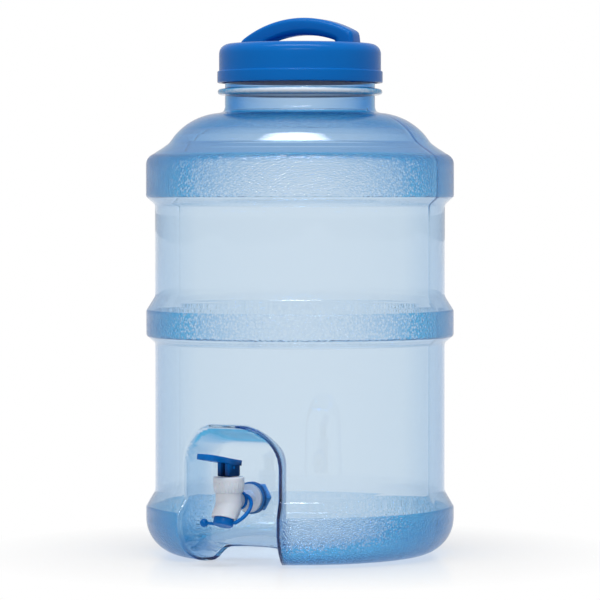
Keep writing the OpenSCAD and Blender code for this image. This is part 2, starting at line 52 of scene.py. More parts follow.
# ---------------------------------------------------------------- sizes of the carboy, in millimetres
# the bottle's wall, its bands, foot, neck and flange
WALL_R, WALL_T = 127.3, 2.4
BAND_R, BAND_EDGE = 135.1, 9.5
RIB_Z, RIB_HALF = 203.0, 11.0
SHOULDER_Z, SHOULDER_TOP = 313.5, 342.0
FOOT_R, FOOT_CORNER, FOOT_TOP = 135.4, 32.0, 42.0
PUNT_Z, PUNT_RISE = 15.0, 11.0
STAND_R, STAND_CORNER = 98.4, 9.0
NECK_R, NECK_Z = 65.9, 392.0
FLANGE_R, FLANGE_LOW, FLANGE_HIGH = 72.2, 403.0, 408.0
RIM_Z = 440.0
# the mould's seam: half its width in degrees, where it ends, and its depth on the dome and below
SEAM_HALF, SEAM_TOP, SEAM_IN = 0.75, 390, 64
DOME_LOW, SEAM_DEEP, SEAM_FAINT = 300, 0.35, 0.12
# the niche round the tap
NICHE_HALF, NICHE_TOP, NICHE_CORNER = 47.0, 117.0, 34.0
NICHE_BACK, NICHE_FLAT, NICHE_ROUND = 85.0, 20.0, 22.0
NICHE_DRAFT, NICHE_MOUTH, NICHE_FRONT = 3.15, 5.0, -40
ROLL_R, ROLL_FLAT, ROLL_EASE = 15.0, 8, 30
INNER_SOFT, MOUTH_SOFT = 6.0, 3.5
MEET_STEP, MEET_REACH = 2.4, 40
# the cap, its finger well and its handle
CAP_Z, DECK_Z, CROWN_Z = 413.4, 447.6, 470.2
CAP_R, CAP_IN_R, CAP_LIP_R, CAP_T, CAP_ROUND = 71.1, 68.9, 72.6, 2.2, 9.0
SEAT_R, SEAT_DROP = 60.5, 4.6
WELL_R, WELL_Z = 51.3, 438.6
HANDLE_TURN, HANDLE_HALF, HANDLE_T, HANDLE_SHIFT = 9.0, 12.5, 15.0, 5.0
ARCH_R, ARCH_HALF, GAP_R, GAP_FROM, GAP_TO = 93.0, 52.0, 92.0, -26.0, 36.0
# the tap
TAP_Z, TAP_HOLE_R = 55.0, 9.3
BARREL_Y, RING_Y, NUT_Y = -123.0, -106.8, -70.7
HUB_TOP = 86.8
STRAP_ROOT, STRAP_BOW, STRAP_FOOT = (8.2, RING_Y, 58.8), (18.0, -116.6, 51.3), (10.6, -130.4, 37.7)
STRAP_HALF = 1.65
# how close two points are before they are made one, in metres
SAME, NEARLY_SAME = 0.00001, 0.00002


# ---------------------------------------------------------------- finishes
class Finish:
    """A material and short ways to add and join its nodes."""

    def __init__(self, name):
        self.made = bpy.data.materials.new("finish_" + name)
        self.made["slot"] = name
        self.made.use_nodes = True
        self.tree = self.made.node_tree
        self.shader = self.tree.nodes["Principled BSDF"]
        self.out = self.tree.nodes["Material Output"]

    def add(self, kind, **inputs):
        """A node of this kind, with its settings and inputs given by name."""
        node = self.tree.nodes.new(kind)
        for name, value in inputs.items():
            name = name.replace("_", " ")
            if hasattr(node, name.replace(" ", "_")) and name not in node.inputs:
                setattr(node, name.replace(" ", "_"), value)
            else:
                node.inputs[name].default_value = value
        return node

    def join(self, start, end):
        self.tree.links.new(start, end)

    def sums(self, operation, first, second):
        """One step of arithmetic on two numbers or sockets."""
        node = self.tree.nodes.new("ShaderNodeMath")
        node.operation = operation
        for value, socket in ((first, node.inputs[0]), (second, node.inputs[1])):
            if isinstance(value, (int, float)):
                socket.default_value = value
            else:
                self.join(value, socket)
        return node.outputs[0]

    def grain(self, scale, detail=2.0):
        """Noise over the piece, as a factor from 0 to 1."""
        place = self.add("ShaderNodeTexCoord")
        node = self.add("ShaderNodeTexNoise", Scale=scale, Detail=detail, Roughness=0.5)
        self.join(place.outputs["Object"], node.inputs["Vector"])
        return node.outputs["Fac"]

    def cells(self, scale):
        """Round pits over the piece, as a height from 0 to 1."""
        place = self.add("ShaderNodeTexCoord")
        node = self.add("ShaderNodeTexVoronoi", Scale=scale)
        node.feature = "SMOOTH_F1"
        node.inputs["Smoothness"].default_value = 0.5
        self.join(place.outputs["Object"], node.inputs["Vector"])
        return node.outputs["Distance"]

    def mark(self, name):
        """A value painted on the mesh's points."""
        node = self.add("ShaderNodeAttribute")
        node.attribute_name = name
        return node.outputs["Fac"]

    def spread(self, factor, low, high, start=0.0, end=1.0):
        """A factor that runs from start to end, spread over low to high."""
        node = self.add("ShaderNodeMapRange")
        self.join(factor, node.inputs["Value"])
        for name, value in (("From Min", start), ("From Max", end), ("To Min", low), ("To Max", high)):
            node.inputs[name].default_value = value
        return node.outputs["Result"]

    def tints(self, factor, dark, light):
        """A colour between two, by a factor."""
        node = self.add("ShaderNodeMix")
        node.data_type = "RGBA"
        self.join(factor, node.inputs["Factor"])
        node.inputs["A"].default_value = (*dark, 1)
        node.inputs["B"].default_value = (*light, 1)
        return node.outputs["Result"]

    def bump(self, height, strength, distance, under=None):
        """Small relief, laid over the relief under it."""
        node = self.add("ShaderNodeBump")
        node.inputs["Distance"].default_value = distance
        if isinstance(strength, (int, float)):
            node.inputs["Strength"].default_value = strength
        else:
            self.join(strength, node.inputs["Strength"])
        self.join(height, node.inputs["Height"])
        if under is not None:
            self.join(under, node.inputs["Normal"])
        return node.outputs["Normal"]

    def set(self, **values):
        """Puts values or sockets on the shader's own inputs."""
        for name, value in values.items():
            socket = self.shader.inputs[name.replace("_", " ")]
            if isinstance(value, bpy.types.NodeSocket):
                self.join(value, socket)
            else:
                socket.default_value = value


def clear_blue():
    """Blown clear wall: tinted through its depth, glossy, and stippled and deeper blue on its bands, with
    painted shade: its colour turns deeper blue towards its edges as they turn from the view.
    """
    f = Finish("clear_blue")
    f.set(IOR=1.5, Specular_IOR_Level=0.4)
    mask = f.mark("stipple")
    edge = f.add("ShaderNodeLayerWeight", Blend=0.5).outputs["Facing"]
    # painted shade: the colour deepens towards the wall's edges as they turn from the view, standing in for
    # the dark edges that the studio's sides give
    rim = f.spread(edge, 0.0, 0.5, 0.3, 1.0)
    specks = f.spread(f.cells(430.0), 0.45, 1.65, 0.1, 0.6)
    # the bands' stipple tint: partly their own speckled colour, partly painted shade that grows towards
    # their edges
    on_bands = f.sums("MULTIPLY", f.sums("MULTIPLY", mask, specks), f.spread(edge, 0.12, 1.7))
    # the painted marks' deeper blue, also painted stronger towards the edges as shade
    marked_deeper = f.sums("MULTIPLY", f.mark("deeper"), f.spread(edge, 0.28, 1.6))
    depth = f.sums("MINIMUM", f.sums("ADD", rim, f.sums("ADD", on_bands, marked_deeper)), 1.0)
    f.set(Base_Color=f.tints(depth, (0.97, 0.985, 1.0), (0.03, 0.39, 0.76)))
    pits = f.cells(760.0)
    swell = f.bump(f.grain(16.0, 1.0), 0.12, 0.0012)
    f.set(Normal=f.bump(pits, mask, 0.0005, swell))
    f.set(Roughness=f.spread(mask, 0.015, 0.11))
    f.set(Transmission_Weight=f.spread(f.mark("milky"), 1.0, 0.35))
    deep = f.add("ShaderNodeVolumeAbsorption", Color=(0.14, 0.44, 0.66, 1), Density=112.0)
    f.join(deep.outputs["Volume"], f.out.inputs["Volume"])
    lets_through(f, (0.80, 0.89, 0.96), (0.30, 0.75, 0.93))
    return f.made


def lets_through(f, lamp_tint, edge_tint):
    """Lamps reach what is behind the clear wall, and light caught in its thickness leaves at its edges."""
    rays = f.add("ShaderNodeLightPath")
    caught = f.sums("GREATER_THAN", rays.outputs["Glossy Depth"], 1.5)
    pane = f.add("ShaderNodeBsdfTransparent")
    f.join(f.tints(rays.outputs["Is Shadow Ray"], edge_tint, lamp_tint), pane.inputs["Color"])
    pick = f.add("ShaderNodeMixShader")
    f.join(f.sums("MAXIMUM", rays.outputs["Is Shadow Ray"], caught), pick.inputs[0])
    f.join(f.shader.outputs[0], pick.inputs[1])
    f.join(pane.outputs[0], pick.inputs[2])
    f.join(pick.outputs[0], f.out.inputs["Surface"])


def moulded(name, dark, light, rough, bump=0.08, scale=900.0, **more):
    """Moulded plastic: a slightly uneven tint, a darker navy painted as shade where the points are marked, a
    fine skin and a soft gloss.
    """
    f = Finish(name)
    # painted shade: the tint is multiplied towards a darker navy where the points carry the mark, as on the
    # lever's hub under its plate
    thick = f.add("ShaderNodeMix", data_type="RGBA", blend_type="MULTIPLY")
    f.join(f.mark("thick"), thick.inputs[0])
    f.join(f.tints(f.grain(22.0, 3.0), dark, light), thick.inputs["A"])
    thick.inputs["B"].default_value = (1.0, 0.2, 0.24, 1)
    f.set(Base_Color=thick.outputs["Result"], **more)
    f.set(Roughness=f.spread(f.grain(140.0, 3.0), rough - 0.05, rough + 0.05))
    f.set(Normal=f.bump(f.grain(scale, 2.0), bump, 0.0002))
    return f.made


CLEAR = clear_blue()
BLUE = moulded("blue_plastic", (0.0003, 0.106, 0.40), (0.0008, 0.126, 0.44), 0.22,
               Specular_IOR_Level=0.1)
WHITE = moulded("white_plastic", (0.56, 0.60, 0.67), (0.62, 0.66, 0.73), 0.30, Specular_IOR_Level=0.3,
                Subsurface_Weight=0.15, Subsurface_Scale=0.004)
SILICONE = moulded("silicone", (0.74, 0.77, 0.80), (0.80, 0.83, 0.86), 0.45)
RUBBER_BLUE = moulded("blue_rubber", (0.006, 0.12, 0.36), (0.009, 0.15, 0.42), 0.42)
RUBBER_BLACK = moulded("black_rubber", (0.012, 0.012, 0.013), (0.02, 0.02, 0.021), 0.5)
STEEL = moulded("spring_steel", (0.55, 0.55, 0.56), (0.66, 0.66, 0.67), 0.24, Metallic=1.0)
# painted light: a lighter copy of the blue plastic for the nut, for the brighter blue it shows behind the
# niche's wall
LIT_NUT_BLUE = moulded("blue_plastic", (0.004, 0.24, 0.62), (0.008, 0.28, 0.68), 0.3,
                   Specular_IOR_Level=0.3)

FINISHES = {
    "bottle": CLEAR, "screw_cap": BLUE, "cap_seal": SILICONE, "tap_body": WHITE, "tap_bonnet": WHITE,
    "valve_stem": WHITE, "valve_plug": SILICONE, "stem_seal_ring": RUBBER_BLACK,
    "closing_spring": STEEL, "lever": BLUE, "lever_pin": BLUE, "front_washer": RUBBER_BLUE,
    "back_washer": RUBBER_BLUE, "lock_nut": LIT_NUT_BLUE, "dust_cap": BLUE, "dust_cap_tether": BLUE,
}
for name, node in frame["nodes"].items():
    node.data.materials.clear()
    node.data.materials.append(FINISHES[name])


# ---------------------------------------------------------------- meshes
def mesh_of(name, points, faces):
    """A mesh from points in millimetres."""
    mesh = bpy.data.meshes.new(name)
    mesh.from_pydata([tuple(c * MM for c in p) for p in points], [], faces)
    return mesh


def seat(mesh, name, finish, body, *stands_for):
    """Puts a finished mesh on its body, in its finish, for the nodes that it stands for."""
    obj = bpy.data.objects.new(name, mesh)
    bpy.context.scene.collection.objects.link(obj)
    mesh.materials.clear()
    mesh.materials.append(finish)
    for face in mesh.polygons:
        face.use_smooth = True
    if body:
        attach(obj, body)
    if stands_for:
        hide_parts(*stands_for)
    return obj


def arc(cx, cy, r, a0, a1, n):
    """Points on a circle, from one angle in degrees to another in n steps."""
    steps = [math.radians(a0 + (a1 - a0) * i / n) for i in range(n + 1)]
    return [(cx + r * math.cos(a), cy + r * math.sin(a)) for a in steps]


def rounded(corners):
    """A line through (x, y, fillet radius) corners, each rounded by its own radius."""
    line = []
    for i, (x, y, *fillet) in enumerate(corners):
        r = fillet[0] if fillet else 0
        if not r or i in (0, len(corners) - 1):
            line.append((x, y))
            continue
        here = np.array((x, y), float)
        back = np.array(corners[i - 1][:2], float) - here
        on = np.array(corners[i + 1][:2], float) - here
        u, v = back / np.linalg.norm(back), on / np.linalg.norm(on)
        half = math.acos(max(-1, min(1, float(u @ v)))) / 2
        reach = min(r / math.tan(half), 0.48 * min(np.linalg.norm(back), np.linalg.norm(on)))
        steps = max(2, round((math.pi - 2 * half) / math.radians(11)))
        p, q = here + u * reach, here + v * reach
        middle = here + (u + v) / np.linalg.norm(u + v) * (reach / math.cos(half))
        radius = np.linalg.norm(p - middle)
        a = math.atan2(*(p - middle)[::-1])
        turn = math.atan2(*(q - middle)[::-1]) - a
        turn = (turn + math.pi) % (2 * math.pi) - math.pi
        line += [tuple(middle + radius * np.array((math.cos(a + turn * k / steps),
                                                   math.sin(a + turn * k / steps))))
                 for k in range(steps + 1)]
    return line


def split(line, longest):
    """The line with its steps cut to at most longest(x, y)."""
    out = [line[0]]
    for p, q in zip(line, line[1:]):
        p, q = np.array(p, float), np.array(q, float)
        n = max(1, math.ceil(np.linalg.norm(q - p) / longest(*((p + q) / 2))))
        out += [tuple(p + (q - p) * k / n) for k in range(1, n + 1)]
    return out


def inset(line, t):
    """The open line moved to its left by t."""
    p = np.array(line, float)
    d = np.diff(p, axis=0)
    d /= np.linalg.norm(d, axis=1)[:, None]
    n = np.stack([-d[:, 1], d[:, 0]], 1)
    a, b = np.vstack([n[:1], n]), np.vstack([n, n[-1:]])
    m = a + b
    return [tuple(v) for v in p + m * (t / (1 + (a * b).sum(1)))[:, None]]


def lathe(profile, columns):
    """Points and faces of a closed profile of (r, z) turned about Z. columns are angles in degrees."""
    angles = np.radians(columns)
    r = np.array([p[0] for p in profile])[:, None]
    z = np.array([p[1] for p in profile])[:, None] * np.ones(len(angles))
    pts = np.stack([r * np.sin(angles), -r * np.cos(angles), z], 2)
    rows, cols = len(profile), len(angles)
    faces = []
    for i in range(rows):
        j = (i + 1) % rows
        for k in range(cols):
            m = (k + 1) % cols
            faces.append((i * cols + k, i * cols + m, j * cols + m, j * cols + k))
    return pts.reshape(-1, 3), faces


def tidy(mesh):
    """Merges doubles, drops faces with no area and turns normals out."""
    bm = bmesh.new()
    bm.from_mesh(mesh)
    bmesh.ops.remove_doubles(bm, verts=bm.verts, dist=NEARLY_SAME)
    bmesh.ops.dissolve_degenerate(bm, edges=bm.edges, dist=SAME)
    bmesh.ops.recalc_face_normals(bm, faces=bm.faces)
    bm.to_mesh(mesh)
    bm.free()


def merged(mesh, flat=False):
    """Makes one mesh of loose triangles, and one face of each flat patch where flat is asked for."""
    bm = bmesh.new()
    bm.from_mesh(mesh)
    bmesh.ops.remove_doubles(bm, verts=bm.verts, dist=SAME)
    if flat:
        bmesh.ops.dissolve_limit(bm, angle_limit=math.radians(0.5), verts=bm.verts, edges=bm.edges)
    bm.to_mesh(mesh)
    bm.free()


def worked_out(obj):
    """A plain mesh of the object as its modifiers leave it."""
    return bpy.data.meshes.new_from_object(obj.evaluated_get(bpy.context.evaluated_depsgraph_get()))


# ---------------------------------------------------------------- bottle
def ease(t):
    """From 0 to 1 with a soft start and end."""
    t = np.clip(t, 0, 1)
    return t * t * (3 - 2 * t)


def blend_max(a, b, k):
    """The larger of two, with the crease between them rounded over k."""
    h = np.clip(0.5 + 0.5 * (a - b) / k, 0, 1)
    return b + (a - b) * h + k * h * (1 - h)


def niche_face(x, z, g=0.0):
    """Y of the niche's face at (x, z), for a wall whose face is set back by g."""
    ax = np.abs(x)
    qx, qz = ax - (NICHE_HALF - NICHE_CORNER), z - (NICHE_TOP - NICHE_CORNER)
    both = (qx > 0) & (qz > 0)
    far = np.hypot(np.maximum(qx, 0), np.maximum(qz, 0))
    depth = NICHE_CORNER + g - np.where(both, far, np.maximum(qx, qz))
    sideways = np.where(both, qx / np.maximum(far, 1e-6), np.where(qx > qz, 1.0, 0.0))
    draft = -WALL_R + NICHE_MOUTH * sideways ** 2 + NICHE_DRAFT * depth
    reach = NICHE_ROUND + g
    bow = np.sqrt(np.maximum(reach ** 2 - np.maximum(ax - NICHE_FLAT, 0) ** 2, 0))
    back = -NICHE_BACK - NICHE_ROUND + bow
    roll = ROLL_R - g
    down = np.clip(PUNT_RISE + ROLL_R - z, 0, roll)
    back = back + (roll - np.sqrt(roll ** 2 - down ** 2)) * (1 - ease((ax - ROLL_FLAT) / ROLL_EASE))
    return -blend_max(-draft, -back, INNER_SOFT)


def carve(pts, rows, cols, last_foot, g):
    """Moves the points of a turned skin that lie in front of the niche back to its face."""
    grid = pts.reshape(rows, cols, 3)
    x, y, z = grid[..., 0], grid[..., 1], grid[..., 2]
    r = np.hypot(grid[:, 0, 0], grid[:, 0, 1])
    face = niche_face(x, z, g)
    near = (y < NICHE_FRONT) & (z < NICHE_TOP + 12)
    # the curve on which the foot's underside meets the niche: a radius and a height for each x
    fine_r, fine_z = np.array(split(list(zip(r[:last_foot], grid[:last_foot, 0, 2])), lambda *_: 0.4)).T
    seam_x = np.arange(0, 52.01, 0.5)
    seam = []
    for sx in seam_x:
        ok = fine_r > sx
        fy = -np.sqrt(np.maximum(fine_r ** 2 - sx ** 2, 0))
        past = ok & (fy < niche_face(np.full_like(fine_z, sx), fine_z, g)) & (fy < NICHE_FRONT)
        k = int(np.argmax(past)) if past.any() else -1
        seam.append((fine_r[k], fine_z[k]) if k > 0 else (1e3, -1e3))
    seam_r = np.interp(np.abs(x), seam_x, [s[0] for s in seam])
    seam_z = np.interp(np.abs(x), seam_x, [s[1] for s in seam])
    index = np.arange(rows)[:, None]
    beyond = (r[:, None] > seam_r - 0.2) & (z < seam_z + 0.05)
    under = near & (index < last_foot) & beyond & (face > y)
    moved = np.where(near, blend_max(y, face, MOUTH_SOFT), y)
    # points drawn to that curve share places on it, so that no slivers are left between them
    place = np.where(np.abs(x) < MEET_REACH, np.round(x / MEET_STEP) * MEET_STEP, x)
    place_z = np.interp(np.abs(place), seam_x, [s[1] for s in seam])
    grid[..., 0] = np.where(under, place, x)
    grid[..., 1] = np.where(under, niche_face(place, place_z, g), moved)
    grid[..., 2] = np.where(under, place_z, z)
    return grid.reshape(-1, 3)


def bottle_profile():
    """Outer line of the bottle, from the middle of its base to its rim, with each edge rounded."""
    line = [(0, PUNT_Z), (40, 14.2, 60), (84, 11.4, 5)]
    line += arc(STAND_R, STAND_CORNER, STAND_CORNER, 205, 270, 7)
    line += arc(FOOT_R - FOOT_CORNER, FOOT_CORNER, FOOT_CORNER, -90, 0, 20)
    line += [(FOOT_R, FOOT_TOP, 6), (WALL_R, FOOT_TOP + 14.0, 9)]
    line += [(WALL_R, RIB_Z - 17.5, 5), (BAND_R, RIB_Z - RIB_HALF, 4)]
    line += [(BAND_R, RIB_Z + RIB_HALF, 4), (WALL_R, RIB_Z + 23.5, 8)]
    line += [(WALL_R, SHOULDER_Z - 7.0, 5), (BAND_R, SHOULDER_Z, 4)]
    line += arc(BAND_R - BAND_EDGE, SHOULDER_TOP, BAND_EDGE, 0, 56, 8)
    line += [(120.8, 356.3, 4)]
    a, b, bow = np.array((115.0, 360.5)), np.array((71.3, 387.0)), 6.2
    half = np.linalg.norm(b - a) / 2
    radius = (half ** 2 + bow ** 2) / (2 * bow)
    normal = np.array((b - a)[::-1]) * (-1, 1) / (2 * half)
    middle = (a + b) / 2 + normal * (radius - bow)
    t0, t1 = (math.degrees(math.atan2(*(p - middle)[::-1])) for p in (a, b))
    line += [(*a, 10)] + arc(*middle, radius, t0, t1, 12)[2:]
    line += [(67.1, NECK_Z - 3.8, 3), (NECK_R, NECK_Z, 4), (NECK_R, FLANGE_LOW, 1.2)]
    line += [(FLANGE_R, FLANGE_LOW, 2.2), (FLANGE_R, FLANGE_HIGH, 2.2)]
    line += [(NECK_R, FLANGE_HIGH, 1.2), (NECK_R, RIM_Z, 0.9)]
    return rounded(line + [(NECK_R - WALL_T, RIM_Z)])[:-1]


def bottle_columns():
    """Angles of the bottle's columns: close together at the niche and at the two mould seams."""
    fine = list(np.arange(-28.0, 28.1, 0.8))
    wide = [28.0 + s for s in (0.9, 1.9, 3.0, 4.2, 5.6, 7.2, 9.0, 11.0, 13.4)]
    seams = [a + d for a in (90, 270) for d in (-SEAM_HALF, -0.35, 0, 0.35, SEAM_HALF)]
    back = [a for a in np.linspace(wide[-1] + 3.3, 360 - wide[-1] - 3.3, 84)
            if min(abs(a - 90), abs(a - 270)) > 1.6]
    return fine + wide + sorted(back + seams) + [360 - w for w in reversed(wide)]


def bands(r, z, x, y, outside):
    """How much of the stipple and of the deeper blue each point of the wall takes; at the niche's rim, sides
    and roof the deeper blue is painted shade.
    """
    ring = outside & (r > 98) & (z < 43)
    behind = (np.abs(x) > 50) | (y > -60) | (niche_face(x, z) < y - 1)
    foot = ring & behind & (z > 1.5)
    rib = outside & (np.abs(z - RIB_Z) < RIB_HALF + 0.5) & (r > BAND_R - 0.6)
    shoulder = outside & (z > 313) & (z < 351) & (r > 126)
    dome = outside & (z > 372) & (z < 387) & (r > 70)
    stipple = np.maximum.reduce([foot * 1.0, rib * 1.0, shoulder * 1.0, dome * 0.25])
    # a deeper blue over the top of the shoulder band, up the dome and most at the neck
    thick = np.interp(z, [344, 350, 358, 366, 380, 392], [0, 0.5, 0.5, 0.45, 0.4, 0.85])
    flange = outside & (r > NECK_R + 0.3) & (z > 402) & (z < 409)
    thick[flange] = 0.2
    stipple[flange] = 0.3
    # painted shade: the niche's rim, side walls and roof take a deeper blue, for the dark blue their walls
    # show where seen edge-on
    carved = (np.abs(y - niche_face(x, z)) < 1.2) & (y < NICHE_FRONT) & (z < NICHE_TOP + 8)
    rim = outside & carved & (r > WALL_R - 7)
    sides = carved * 0.9 * ease((np.abs(x) - 24) / 20)
    roof = carved * ease((z - 97) / 8)
    thick = np.maximum.reduce([thick, rim * 1.1, sides, roof * 0.6])
    seam = outside & (np.abs(y) < 0.3) & (z > 3) & (z < SEAM_TOP) & (r > SEAM_IN)
    deeper = np.maximum.reduce([foot * 0.6, thick, seam * np.where(z > DOME_LOW, 0.9, 0.25)])
    return {"stipple": stipple, "deeper": deeper, "milky": flange * 1.0}


def bore(mesh, y_out, y_in, z, r):
    """Opens a round hole along Y through both skins of the niche's back."""
    bm = bmesh.new()
    bm.from_mesh(mesh)
    middle = Vector((0, 0, z))
    flat = lambda v: (Vector((v.co.x, 0, v.co.z)) - middle).length
    past = 2 * MM
    gone = [v for v in bm.verts if flat(v) < r + 0.8 * MM and y_out - past < v.co.y < y_in + past]
    bmesh.ops.delete(bm, geom=gone, context="VERTS")
    rims = [e for e in bm.edges if e.is_boundary and max(map(flat, e.verts)) < r + 4 * MM]
    for v in {v for e in rims for v in e.verts}:
        way = (Vector((v.co.x, 0, v.co.z)) - middle).normalized() * r + middle
        v.co.x, v.co.z = way.x, way.z
    bmesh.ops.bridge_loops(bm, edges=rims)
    bmesh.ops.recalc_face_normals(bm, faces=bm.faces)
    bm.to_mesh(mesh)
    bm.free()


def bottle_shell():
    """The blown shell: two turned skins with the mould's seam, the niche and the tap's hole."""
    def steps(near_niche, near_bands):
        """Longest step along the profile, shorter at the niche and at the bands."""
        return lambda r, z: (near_niche if z < 124 and r > 66 else
                             near_bands if 180 < z < 232 or 300 < z < 362 else 9.0)

    outer = split(bottle_profile(), steps(1.7, 3.0))
    past_flange = lambda r, z: r > NECK_R + 0.05 and FLANGE_LOW - 3 < z < FLANGE_HIGH + 3
    skin = [p for p in split(bottle_profile(), steps(2.8, 6.0)) if not past_flange(*p)]
    inner = [(max(r, 0.0), z) for r, z in inset(skin, WALL_T)][:-3]
    inner += [(NECK_R - WALL_T, RIM_Z - 0.4)]
    inner[0] = (0.0, PUNT_Z + WALL_T)
    columns = bottle_columns()
    cols = len(columns)
    pts_out, _ = lathe(outer, columns)
    pts_in, _ = lathe(inner, columns)
    groove = pts_out.reshape(len(outer), cols, 3)
    for k, angle in enumerate(columns):
        share = max(0.0, 1 - min(abs(angle - 90), abs(angle - 270)) / SEAM_HALF)
        if share:
            for row in groove:
                r = math.hypot(row[k, 0], row[k, 1])
                if r > SEAM_IN and 3 < row[k, 2] < SEAM_TOP:
                    row[k, :2] *= 1 - share * (SEAM_DEEP if row[k, 2] > DOME_LOW else SEAM_FAINT) / r
    foot_out = next(i for i, p in enumerate(outer) if p[0] > 128 and p[1] > 41)
    foot_in = next(i for i, p in enumerate(inner) if p[0] > 126 and p[1] > 41)
    pts_out = carve(pts_out, len(outer), cols, foot_out, 0.0)
    pts_in = carve(pts_in, len(inner), cols, foot_in, WALL_T)
    loop = outer + inner[::-1]
    _, faces = lathe(loop, columns)
    pts = np.vstack([pts_out, pts_in.reshape(len(inner), cols, 3)[::-1].reshape(-1, 3)])
    faces = faces[: (len(loop) - 1) * cols]
    mesh = mesh_of("bottle_shell", pts, faces)
    outside = np.arange(len(pts)) < len(pts_out)
    marks = bands(np.hypot(pts[:, 0], pts[:, 1]), pts[:, 2], pts[:, 0], pts[:, 1], outside)
    for name, values in marks.items():
        painted = mesh.attributes.new(name, "FLOAT", "POINT")
        painted.data.foreach_set("value", values.astype(np.float32))
    tidy(mesh)
    bore(mesh, -NICHE_BACK * MM, (WALL_T - NICHE_BACK) * MM, TAP_Z * MM, TAP_HOLE_R * MM)
    seat(mesh, "bottle_shell", CLEAR, "bottle", "bottle")


bottle_shell()


# ---------------------------------------------------------------- cap
def cap_profile():
    """Closed line of the cap's wall, without its handle."""
    top = [(0, WELL_Z), (WELL_R, WELL_Z, 4), (WELL_R, DECK_Z, 1.8)]
    top += reversed(arc(CAP_R - CAP_ROUND, DECK_Z - CAP_ROUND, CAP_ROUND, 0, 90, 9))
    top += [(CAP_R, CAP_Z + 10.6, 0.6), (CAP_LIP_R, CAP_Z + 9.9, 0.8), (CAP_LIP_R, CAP_Z, 1.0),
            (CAP_IN_R, CAP_Z, 0.5)]
    return rounded(top + [(CAP_IN_R, DECK_Z - 5.8), (CAP_IN_R - 1.2, DECK_Z - SEAT_DROP),
                          (SEAT_R, DECK_Z - SEAT_DROP), (SEAT_R, DECK_Z - CAP_T),
                          (WELL_R + CAP_T, DECK_Z - CAP_T), (WELL_R + CAP_T, WELL_Z - CAP_T),
                          (0, WELL_Z - CAP_T)])


def cap_shell():
    """The cap's turned wall: lip, skirt, deck and finger well."""
    profile = split(cap_profile()[::-1], lambda r, z: 6.0)
    pts, faces = lathe(profile, np.arange(0, 360, 2.5))
    mesh = mesh_of("cap_shell", pts, faces)
    tidy(mesh)
    return mesh


def side_view(x0, x1, middle_z, r, corner, flare):
    """Leg, arch and leg of the handle's side view, with the leg lengths at both ends."""
    foot_z = WELL_Z - 0.6
    tops = [middle_z + math.sqrt(r ** 2 - (x - HANDLE_SHIFT) ** 2) for x in (x0, x1)]
    a0, a1 = (math.degrees(math.acos((x - HANDLE_SHIFT) / r)) for x in (x0, x1))
    arch = arc(HANDLE_SHIFT, middle_z, r, a0 - 3, a1 + 3, 26)
    line = rounded([(x0 - flare, foot_z), (x0, tops[0], corner)] + arch
                   + [(x1, tops[1], corner), (x1 + flare, foot_z)])
    return np.array(line), tops[0] - foot_z, tops[1] - foot_z


def stations(line, first, last):
    """Points along the line: nine on each leg and the rest on the arch."""
    s = np.concatenate([[0], np.cumsum(np.linalg.norm(np.diff(line, axis=0), axis=1))])
    want = np.concatenate([np.linspace(0, first, 9), np.linspace(first, s[-1] - last, 50)[1:-1],
                           np.linspace(s[-1] - last, s[-1], 9)])
    return np.stack([np.interp(want, s, line[:, 0]), np.interp(want, s, line[:, 1])], 1)


def handle_mesh():
    """Arched handle as a ladder of rounded sections from one foot to the other."""
    turn, half, over, under = math.radians(HANDLE_TURN), HANDLE_HALF, 4.5, 6.2
    outer = stations(*side_view(-ARCH_HALF, ARCH_HALF, CROWN_Z - ARCH_R, ARCH_R, 6, 2.5))
    inner = stations(*side_view(GAP_FROM, GAP_TO, CROWN_Z - HANDLE_T - GAP_R, GAP_R, 5, 0))
    pts, faces = [], []
    for top, low in zip(outer, inner):
        thick = np.linalg.norm(top - low)
        u = (top - low) / thick
        t = thick / 2
        section = []
        corners = ((half - over, t - over, over, 0), (over - half, t - over, over, 90),
                   (under - half, under - t, under, 180), (half - under, under - t, under, 270))
        for cx, cy, r, a0 in corners:
            section += arc(cx, cy, r, a0, a0 + 90, 6)
        for w, h in section:
            px, pz = (top + low) / 2 + u * h
            pts.append((px * math.cos(turn) - w * math.sin(turn),
                        px * math.sin(turn) + w * math.cos(turn), pz))
    m, n = len(section), len(outer)
    faces += [(i * m + k, i * m + (k + 1) % m, (i + 1) * m + (k + 1) % m, (i + 1) * m + k)
              for i in range(n - 1) for k in range(m)]
    faces += [tuple(range(m)), tuple(reversed(range((n - 1) * m, n * m)))]
    mesh = mesh_of("cap_handle", pts, faces)
    tidy(mesh)
    return mesh


seat(cap_shell(), "cap_body", BLUE, "cap", "screw_cap")
seat(handle_mesh(), "cap_handle", BLUE, "cap", "screw_cap")


